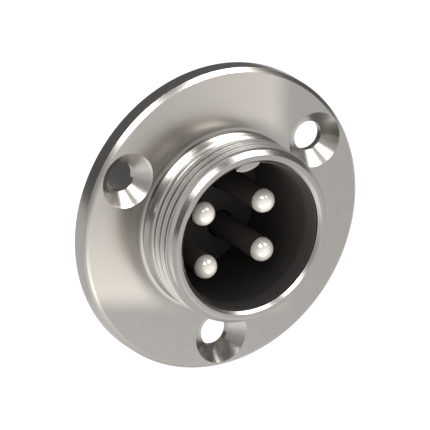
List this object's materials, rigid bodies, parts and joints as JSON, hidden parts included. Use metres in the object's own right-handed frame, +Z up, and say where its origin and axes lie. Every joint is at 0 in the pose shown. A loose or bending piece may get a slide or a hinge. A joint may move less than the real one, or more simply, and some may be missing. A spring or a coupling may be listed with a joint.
{
  "type": "aviation plug connector",
  "caption": "Round-flange panel receptacle with a threaded metal barrel, keyed black insulator cup and solid ball-nosed pin contacts with solder cups.",
  "frame": {"origin": "centre of the flange's back face, which sits on the panel", "axes": "-Y out of the mating end, +Y through the panel, +Z up with the key at twelve o'clock, +X to the right seen from the mating end"},
  "size_m": [0.032, 0.0204, 0.032],
  "materials": {
    "nickel_plated_shell": "satin nickel plate on a turned brass body",
    "black_insulator": "moulded, fine matt",
    "silver_contact": "satin silver plate on turned brass",
    "spring_steel": "stamped, oiled"
  },
  "bodies": {
    "root": {"shell": "nickel_plated_shell", "insulator": "black_insulator", "clamp_plate": "black_insulator", "contact_1": "silver_contact", "contact_2": "silver_contact", "contact_3": "silver_contact", "contact_4": "silver_contact", "snap_ring": "spring_steel"}
  },
  "joints": []
}
